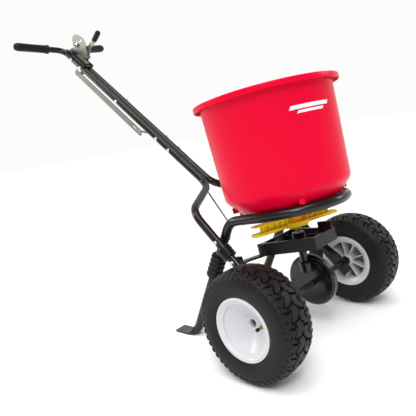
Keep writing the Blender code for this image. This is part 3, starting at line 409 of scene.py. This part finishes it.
def tread_height(turn, across):
    """1 on a block's top and 0 in a groove; turn is in pitches, across from -1 to 1."""
    side = 1 if across >= 0 else -1
    reach = abs(across)
    shifted = turn + (0.5 if side < 0 else 0.0)
    grooves = [abs(across - 0.19 * wave(turn)) / 0.038,
               abs(reach - 0.56 - 0.15 * wave(shifted)) / 0.040]
    if reach < 0.56:
        slanted = (shifted + 0.35 * reach) % 1.0
    else:
        slanted = (shifted + 0.5 - 0.35 * (reach - 0.5)) % 1.0
    grooves.append(min(slanted, 1 - slanted) / 0.068)
    if reach > 0.86:
        half = (shifted + 0.95) % 1.0
        grooves.append(min(half, 1 - half) / 0.06)
    step = max(0.0, min(1.0, (min(grooves) - 0.88) / 0.26))
    return step * step * (3 - 2 * step)


def make_tyre(side, sign, body):
    around, across_steps = 504, 64
    shape = bmesh.new()
    rows = []
    outer = softened(TYRE_SIDE, 0.004, 2)
    inner = [(0.0640, 0.0330), (0.0880, 0.0405), (0.1035, 0.0320), (0.1085, 0.0)]

    def ring_at(points):
        ring = []
        for k in range(around):
            angle = math.tau * k / around
            radius, height = points(k)
            ring.append(shape.verts.new((radius * math.cos(angle), radius * math.sin(angle),
                                         height)))
        rows.append(ring)

    def wall(radius, height):
        """A side wall point, with short moulded lugs just under the shoulder."""
        def at(k):
            lug = 0.0
            if 0.0985 < radius < 0.1075:
                place = (k / around * PITCHES * 2 + (0.5 if height < 0 else 0)) % 1.0
                lug = 0.0013 if 0.22 < place < 0.78 else 0.0
            return radius + lug, height + math.copysign(lug, height)
        return at

    for radius, height in outer:
        ring_at(wall(radius, height))
    edge_r, edge_w = TREAD_EDGE
    crown = TYRE_R - edge_r
    for step in range(1, across_steps):
        across = 1 - 2 * step / across_steps
        width = edge_w * across
        surface = edge_r + crown * (1 - abs(across) ** 2.6)

        def tread(k, surface=surface, width=width, across=across):
            raised = tread_height(k / around * PITCHES, across)
            depth = GROOVE * min(1.0, 0.25 + 2.2 * (1 - abs(across)))
            return surface - depth * (1 - raised), width
        ring_at(tread)
    for radius, height in reversed(outer):
        ring_at(wall(radius, -height))
    for radius, height in [(r, -w) for r, w in inner[:3]] + [inner[3]] + inner[:3][::-1]:
        ring_at(lambda k, r=radius, w=height: (r, w))
    for near, far in zip(rows, rows[1:] + rows[:1]):
        for k in range(around):
            nxt = (k + 1) % around
            shape.faces.new((near[k], near[nxt], far[nxt], far[k]))
    local = Matrix.Translation((0, sign * WHEEL_Y, 0)) @ (TO_LEFT if sign > 0 else TO_RIGHT)
    finished(side + "_tyre_tread", shape, "rubber", body, LEVEL @ local, (side + "_tyre",),
             sharp=38)


RIM = [(0.0080, 0.0065), (0.0175, 0.0065), (0.0195, 0.0085), (0.0330, 0.0170),
       (0.0500, 0.0305), (0.0545, 0.0370), (0.0580, 0.0418), (0.0648, 0.0424),
       (0.0648, 0.0394), (0.0515, 0.0382), (0.0515, -0.0382), (0.0648, -0.0394),
       (0.0648, -0.0424), (0.0580, -0.0418), (0.0478, -0.0360), (0.0475, 0.0240),
       (0.0200, 0.0035), (0.0150, 0.0000), (0.0150, -0.0400), (0.0067, -0.0400),
       (0.0067, -0.0060), (0.0080, -0.0060)]


def make_rim(side, sign, body):
    shape = bmesh.new()
    lathe(shape, softened(RIM, 0.0022, 3, closed=True), 96, closed=True)
    for ring_r, height in ((0.0600, 0.0417), (0.0260, 0.0118)):
        bead = [(ring_r - 0.0012, height), (ring_r, height + 0.0011), (ring_r + 0.0012, height),
                (ring_r, height - 0.0011)]
        lathe(shape, softened(bead, 0.0008, 2, closed=True), 96, closed=True)
    ribs = 9
    for number in range(ribs):
        turn = Matrix.Rotation(math.tau * (number + 0.5) / ribs, 4, "Z")
        block(shape, (0.0345, 0.0028, 0.0330),
              turn @ Matrix.Translation((0.0315, 0, -0.0170)), 0.0006)
    local = Matrix.Translation((0, sign * WHEEL_Y, 0)) @ (TO_LEFT if sign > 0 else TO_RIGHT)
    finished(side + "_rim_fine", shape, "white_plastic", body, LEVEL @ local,
             (side + "_rim",))
    stem = Matrix.Translation((0.033, 0.004, 0))
    turned(side + "_valve_stem_fine", [(0.0, 0.0300), (0.0026, 0.0300), (0.0026, 0.0252),
           (0.0040, 0.0245), (0.0046, 0.0180), (0.0040, 0.0150), (0.0040, 0.0100), (0.0, 0.0100)],
           "brass", body, local @ stem, LEVEL, 32, 0.0003, False, (side + "_valve_stem",))
    turned(side + "_valve_cap_fine", [(0.0, 0.0370), (0.0030, 0.0370), (0.0036, 0.0358),
           (0.0036, 0.0305), (0.0, 0.0305)], "grip_rubber", body, local @ stem, LEVEL, 24,
           0.0005, False, (side + "_valve_cap",))
    turned(side + "_retainer_fine", [(0.0067, -0.0025), (0.0076, -0.0030), (0.0076, -0.0055),
           (0.0067, -0.0055)], "zinc", "axle", local, LEVEL, 32, 0.0003, True,
           (side + "_axle_retainer",))


# ---------------------------------------------------------------- frame, handle and grips

def make_frame_tube():
    halves = []
    for sign in (-1, 1):
        toe = to_chassis(FOOT_TOE_X, 0, FOOT_HALF - TYRE_R)
        heel = to_chassis(FOOT_HEEL_X, 0, FOOT_HALF - TYRE_R)
        y = sign * RING_R
        halves.append(rounded([(toe.x, y, toe.z), (heel.x, y, heel.z), (SIDE_RUN_X, y, RING_Z),
                               (0, y, RING_Z)], 0.045))
    steps = 40
    arc = [Vector((RING_R * math.cos(a), RING_R * math.sin(a), RING_Z))
           for a in (math.pi * (k / steps - 0.5) for k in range(1, steps))]
    path = halves[0] + arc + halves[1][::-1]
    toe = path[0]
    sizes = []
    for point in path:
        flat = min(1.0, max(0.0, ((point - toe).xz.length / 0.062 - 0.75) / 0.5))
        flat = flat * flat * (3 - 2 * flat)
        sizes.append((FRAME_TUBE_R + (1 - flat) * 0.0055,
                      FOOT_HALF + flat * (FRAME_TUBE_R - FOOT_HALF)))
    tube("hopper_frame_tube_fine", path, sizes, "black_paint", "frame")


def make_handles():
    for side, sign in (("left", 1), ("right", -1)):
        y = sign * LOWER_Y
        low = along_pole(0, sign * POLE_Y)
        path = rounded([(-0.040, y, 0.0530), (-0.172, y, 0.2284),
                        (-0.236, sign * POLE_Y, 0.2735), low], 0.06, 16)
        flat = [Vector((0.0165, y, -0.0205)), Vector((-0.0120, y, 0.0165)),
                Vector((-0.0220, y, 0.0295))]
        sizes = [(FOOT_HALF, 0.0150), (FOOT_HALF, 0.0150), (0.0045, 0.0140)]
        sizes += [(TUBE_R, TUBE_R)] * len(path)
        tube(side + "_lower_handle_fine", flat + path, sizes, "black_paint", "frame")
        end = Vector((GRIP_END.x, sign * GRIP_END.y, GRIP_END.z))
        bend = along_pole(1, sign * POLE_Y)
        out = (end - bend).normalized()
        path = rounded([low + POLE_DIR * 0.0006, bend, end - out * 0.004], 0.035)
        tube(side + "_upper_handle_fine", path, [(TUBE_R, TUBE_R)] * len(path), "black_paint",
             "frame", side=(0.55, 0, 0.83))
        ends = [low + POLE_DIR * 0.0008, low + POLE_DIR * 0.0030]
        tube(side + "_swage_ring", ends, [(TUBE_R + 0.0004,) * 2] * 2, "black_paint", "frame",
             replaces=())
        grip_turn = Matrix.Translation(end - out * 0.112) @ out.to_track_quat("Z", "Y") \
            .to_matrix().to_4x4()
        profile = [(0.0, 0.1120), (0.0060, 0.1112), (0.0105, 0.1080), (0.0130, 0.1010),
                   (0.0133, 0.0900), (0.0128, 0.0500), (0.0132, 0.0120), (0.0138, 0.0090),
                   (0.0149, 0.0070), (0.0149, 0.0010), (0.0104, 0.0)]
        turned(side + "_grip_fine", profile, "grip_rubber", "frame", grip_turn, steps=48,
               soften=0.0015, closed=False)


def make_bolt(name, place, turn, grip):
    """A round-headed coach bolt with a washer and a hex nut."""
    shape = bmesh.new()
    half = grip / 2 + 0.0003
    dome = [(0.0, half + 0.0042), (0.0030, half + 0.0038), (0.0052, half + 0.0022),
            (0.0062, half), (0.0030, half), (0.0030, -half - 0.0078), (0.0, -half - 0.0078)]
    lathe(shape, softened(dome, 0.0005, 2), 32)
    washer = [(0.0031, -half), (0.0060, -half), (0.0060, -half - 0.0009), (0.0031, -half - 0.0009)]
    lathe(shape, washer, 32, closed=True)
    lathe(shape, [(0.0031, -half - 0.0010), (0.0056, -half - 0.0010), (0.0061, -half - 0.0018),
                  (0.0061, -half - 0.0042), (0.0056, -half - 0.0050),
                  (0.0031, -half - 0.0050)], 6, closed=True)
    finished(name + "_fine", shape, "bright_zinc", "frame",
             CHASSIS @ Matrix.Translation(place) @ turn, (name,))


def make_bolts():
    span = 2 * (POLE_Y + TUBE_R)
    for name, share in (("handle_bolt_lower", 0.066), ("handle_bolt_joint", 0.157),
                        ("handle_bolt_middle", 0.480), ("handle_bolt_upper", 0.812),
                        ("guide_bolt", 0.902)):
        make_bolt(name, along_pole(share), TO_RIGHT, span)
    for side, sign, turn in (("left", 1, TO_LEFT), ("right", -1, TO_RIGHT)):
        middle = sign * (RING_R - FRAME_TUBE_R + LOWER_Y + TUBE_R) / 2
        clamp = LOWER_Y + TUBE_R - RING_R + FRAME_TUBE_R
        make_bolt(side + "_leg_bolt", (LEG_BOLT[0], middle, LEG_BOLT[1]), turn, clamp)
        outside, inside = LOWER_Y + TUBE_R, LOWER_Y - TUBE_R - 0.0085
        make_bolt(side + "_brace_bolt",
                  (BRACE_BOLT[0], sign * (outside + inside) / 2, BRACE_BOLT[1]), turn,
                  outside - inside)


# ---------------------------------------------------------------- hopper and impeller

def make_hopper():
    wall = 0.003
    profile = [(0.1538, LIP_Z), (0.1721, LIP_Z), (0.1721, LIP_Z - 0.0125),
               (0.1691, LIP_Z - 0.0125), (0.1691, LIP_Z - wall), (0.1568, LIP_Z - wall - 0.001),
               (0.1475, 0.2344), (0.1439, 0.2264), (0.110, 0.190), (0.0075, 0.190),
               (0.0075, 0.193), (0.109, 0.193), (0.1429, 0.2294), (0.1445, 0.2364)]
    shape = bmesh.new()
    lathe(shape, softened(profile, 0.0024, 3, closed=True), 144, closed=True)
    for angle in (45, 135, 225, 315):
        turn = Matrix.Rotation(math.radians(angle), 4, "Z")
        block(shape, (0.0150, 0.0125, 0.0130), turn @ Matrix.Translation((0.1290, 0, 0.2082)),
              0.0012)
    finished("hopper_shell", shape, "red_plastic", "frame", replaces=("hopper",), sharp=40)


def on_hopper(angle, height):
    """A point just outside the hopper's wall."""
    radius = 0.1475 + (0.1568 - 0.1475) * (height - 0.2344) / (LIP_Z - 0.004 - 0.2344) + 0.0002
    return Vector((radius * math.cos(angle), radius * math.sin(angle), height))


def make_decal():
    """A plain slanted two-bar decal on the hopper's front right."""
    shape = bmesh.new()
    bars = ((0.3935, 0.4020, -0.70, -0.05), (0.3850, 0.3905, -0.60, -0.17))
    for low, high, start, end in bars:
        steps = 24
        last = None
        for k in range(steps + 1):
            angle = start + (end - start) * k / steps
            pair = [shape.verts.new(on_hopper(angle, low)),
                    shape.verts.new(on_hopper(angle + 0.03, high))]
            if last:
                shape.faces.new((last[0], pair[0], pair[1], last[1]))
            last = pair
    piece = finished("hopper_decal", shape, "decal", "frame")
    skin = piece.modifiers.new("skin", "SOLIDIFY")
    skin.thickness = 0.0003
    skin.offset = 1.0


def make_impeller():
    """A ribbed hub and two opposite arms, each with an upper and a lower deck on a web."""
    shape = bmesh.new()
    base = IMPELLER_Z
    profile = [(0.0053, base + 0.0225), (0.0135, base + 0.0225), (0.0160, base + 0.0060),
               (0.0300, base + 0.0058), (0.0300, base - 0.0058), (0.0160, base - 0.0058),
               (0.0120, base - 0.0120), (0.0053, base - 0.0120)]
    lathe(shape, softened(profile, 0.0012, 2, closed=True), 72, closed=True)
    for turn in (ARM_TURN, ARM_TURN + math.pi):
        out = Matrix.Rotation(turn, 4, "Z")
        block(shape, (0.1030, 0.0256, 0.0070), out @ Matrix.Translation((0.0630, 0, base)),
              0.0012)
        block(shape, (0.1000, 0.0256, 0.0042),
              out @ Matrix.Translation((0.0615, 0, base + 0.01925)), 0.0012)
        block(shape, (0.0840, 0.0034, 0.0150), out @ Matrix.Translation((0.0535, 0, base + 0.0108)),
              0.0005)
        for k in range(34):
            across = Matrix.Translation((0.0160 + k * 0.0029, 0, base))
            block(shape, (0.0012, 0.0262, 0.0076), out @ across, 0.0003)
        for k in range(5):
            stay = Matrix.Translation((0.0260 + k * 0.0160, 0, base + 0.0108))
            block(shape, (0.0018, 0.0200, 0.0136), out @ stay, 0.0004)
    finished("impeller_fine", shape, "yellow_plastic", "impeller", replaces=("impeller",))


def make_shaft():
    """The impeller's shaft and the axle, with their bushings."""
    turned("impeller_shaft_fine", [(0.0, 0.2220), (0.0050, 0.2220), (0.0050, 0.0345),
           (0.0, 0.0345)], "zinc", "impeller", steps=40, soften=0.0006, closed=False)
    turned("hopper_bushing_fine", [(0.0053, 0.1960), (0.0100, 0.1960), (0.0100, 0.1933),
           (0.0072, 0.1933), (0.0072, 0.1880), (0.0053, 0.1880)], "nylon", "frame", steps=40,
           soften=0.0004)
    turned("shaft_bushing_fine", [(0.0053, 0.1265), (0.0130, 0.1265), (0.0130, 0.1243),
           (0.0092, 0.1243), (0.0092, 0.0940), (0.0053, 0.0940)], "nylon", "frame", steps=40,
           soften=0.0004)
    turned("axle_fine", [(0.0, 0.2179), (0.0056, 0.2179), (AXLE_R, 0.2170), (AXLE_R, -0.2170),
           (0.0056, -0.2179), (0.0, -0.2179)], "steel", "axle", TO_LEFT, steps=40,
           closed=False, soften=0.0003)
    for side, turn in (("left", TO_LEFT), ("right", TO_RIGHT)):
        turned(side + "_axle_bushing_fine", [(0.0067, 0.1785), (0.0125, 0.1785),
               (0.0125, 0.1538), (0.0096, 0.1538), (0.0096, 0.1460), (0.0067, 0.1460)],
               "black_plastic", "frame", turn, steps=40, soften=0.0006)


# ---------------------------------------------------------------- gear case and sleeves

def make_gear_case():
    rise = Matrix.Translation((0, 0, 0.008))
    back = [(0.0070, 0.0245), (0.0250, 0.0243), (0.0555, 0.0236), (0.0598, 0.0215),
            (0.0598, 0.0163), (0.0578, 0.0163), (0.0578, 0.0205), (0.0070, 0.0224)]
    turned("gear_case_left_fine", back, "gloss_plastic", "frame", rise @ TO_LEFT, steps=96,
           soften=0.0012)
    shape = bmesh.new()
    front = [(0.0, 0.0041), (0.0400, 0.0043), (0.0540, 0.0056), (0.0598, 0.0085),
             (0.0598, 0.0158), (0.0585, 0.0158), (0.0585, 0.0100), (0.0, 0.0068)]
    lathe(shape, softened(front, 0.0012, 3), 96, rise @ TO_LEFT)
    tower = [(0.0, 0.0301), (0.0130, 0.0301), (0.0153, 0.0316), (0.0155, 0.0520),
             (0.0140, 0.0550), (0.0098, 0.0562), (0.0096, 0.0860), (0.0112, 0.0868),
             (0.0112, 0.0916), (0.0, 0.0916)]
    lathe(shape, softened(tower, 0.0010, 3), 56)
    for height, reach in ((0.0345, 0.0157), (0.0505, 0.0158), (0.0600, 0.0104)):
        ring = [(reach - 0.0012, height - 0.0014), (reach, height - 0.0008),
                (reach, height + 0.0008), (reach - 0.0012, height + 0.0014)]
        lathe(shape, ring, 56, closed=True)
    for k in range(3):
        turn = Matrix.Rotation(math.tau * (k + 0.25) / 3, 4, "Y")
        seat = rise @ turn @ Matrix.Translation((0, 0.0044, 0.0480)) @ TO_LEFT
        lathe(shape, [(0.0, -0.0012), (0.0030, -0.0012), (0.0034, -0.0004), (0.0034, 0.0020),
                      (0.0, 0.0020)], 24, seat)
    finished("gear_case_right_fine", shape, "gloss_plastic", "frame",
             replaces=("gear_case_right",), sharp=40)


def make_sleeves():
    top = Vector((LEG_BOLT[0], -LOWER_Y, LEG_BOLT[1]))
    low = Vector((BRACE_BOLT[0], -LOWER_Y, BRACE_BOLT[1]))
    down = (low - top).normalized()
    profile = [(0.0104, 0.0)]
    for k in range(4):
        start = k * 0.0068
        profile += [(0.0160, start), (0.0168, start + 0.0006), (0.0168, start + 0.0034),
                    (0.0160, start + 0.0038)]
        if k < 3:
            profile += [(0.0145, start + 0.0042), (0.0145, start + 0.0064)]
    profile += [(0.0104, 0.0240)]
    place = Matrix.Translation(top + down * 0.0205) @ down.to_track_quat("Z", "Y").to_matrix() \
        .to_4x4()
    turned("right_tube_sleeve_fine", profile, "black_plastic", "frame", place, steps=48,
           soften=0.0004)
    heel = to_chassis(FOOT_HEEL_X, 0, FOOT_HALF - TYRE_R)
    top = Vector((SIDE_RUN_X, -RING_R, RING_Z))
    leg = (Vector((heel.x, -RING_R, heel.z)) - top).normalized()
    profile = [(0.0113, 0.0)]
    for k in range(5):
        start = k * 0.0125
        profile += [(0.0145, start + 0.0003), (0.0186, start + 0.0030), (0.0190, start + 0.0058),
                    (0.0186, start + 0.0085), (0.0145, start + 0.0118)]
    profile += [(0.0113, 0.0620)]
    place = Matrix.Translation(top + leg * 0.092) @ leg.to_track_quat("Z", "Y").to_matrix() \
        .to_4x4()
    turned("right_leg_boot_fine", profile, "grip_rubber", "frame", place, steps=56,
           soften=0.0010)


# ---------------------------------------------------------------- brace and rate control

def make_small_parts():
    bevelled("crossbrace", 0.0009, "black_plastic", "frame")
    bevelled("wing_nut", 0.0006, "bright_zinc", "rate_stop")
    for side in ("left", "right"):
        bevelled(side + "_plate_guide", 0.0005, "black_plastic", "frame")


def make_bracket():
    """The rate bracket: a pressed channel whose long edges turn up."""
    above = Vector((-POLE_DIR.z, 0, POLE_DIR.x)) * -1
    place = Matrix((POLE_DIR, (0, 1, 0), above)).transposed().to_4x4()
    seat = Matrix.Translation(along_pole(0.875) + above * (TUBE_R + 0.0024)) @ place
    shape = bmesh.new()
    block(shape, (0.112, 0.036, 0.0040), seat, 0.0010)
    for sign in (-1, 1):
        block(shape, (0.112, 0.0030, 0.0085), seat @ Matrix.Translation((0, sign * 0.0165, 0.0024)),
              0.0009)
    finished("rate_bracket_fine", shape, "black_paint", "frame", replaces=("rate_bracket",))


def make_lever_grip():
    """The dipped grip on the rate lever: a turned capsule with a rolled edge."""
    out = (Vector((0.070, 0, 0.0455)) - Vector((0.052, 0, 0.036))).normalized()
    start = LEVER_PIVOT + Vector((0.0535, 0, 0.0368))
    profile = [(0.0, 0.0400), (0.0040, 0.0394), (0.0072, 0.0370), (0.0088, 0.0325),
               (0.0091, 0.0200), (0.0083, 0.0040), (0.0089, 0.0022), (0.0087, 0.0004),
               (0.0, 0.0)]
    place = Matrix.Translation(start) @ out.to_track_quat("Z", "Y").to_matrix().to_4x4()
    turned("lever_grip_fine", profile, "grip_rubber", "rate_lever", place, steps=40,
           soften=0.0008, closed=False)


# ---------------------------------------------------------------- assembly

def paint_cad_nodes():
    """Give every CAD node that still shows its procedural material."""
    slots = {s["node"]: s["material_slot"] for s in frame["record"]["subparts"]}
    for name, node in frame["nodes"].items():
        node.data.materials.clear()
        node.data.materials.append(LOOKS[slots.get(name, "zinc")])


def main():
    make_camera()
    make_stage()
    paint_cad_nodes()
    for side, sign, body in (("left", 1, "axle"), ("right", -1, "right_wheel")):
        make_tyre(side, sign, body)
        make_rim(side, sign, body)
    make_frame_tube()
    make_handles()
    make_bolts()
    make_hopper()
    make_decal()
    make_impeller()
    make_shaft()
    make_gear_case()
    make_sleeves()
    make_small_parts()
    make_bracket()
    make_lever_grip()


main()
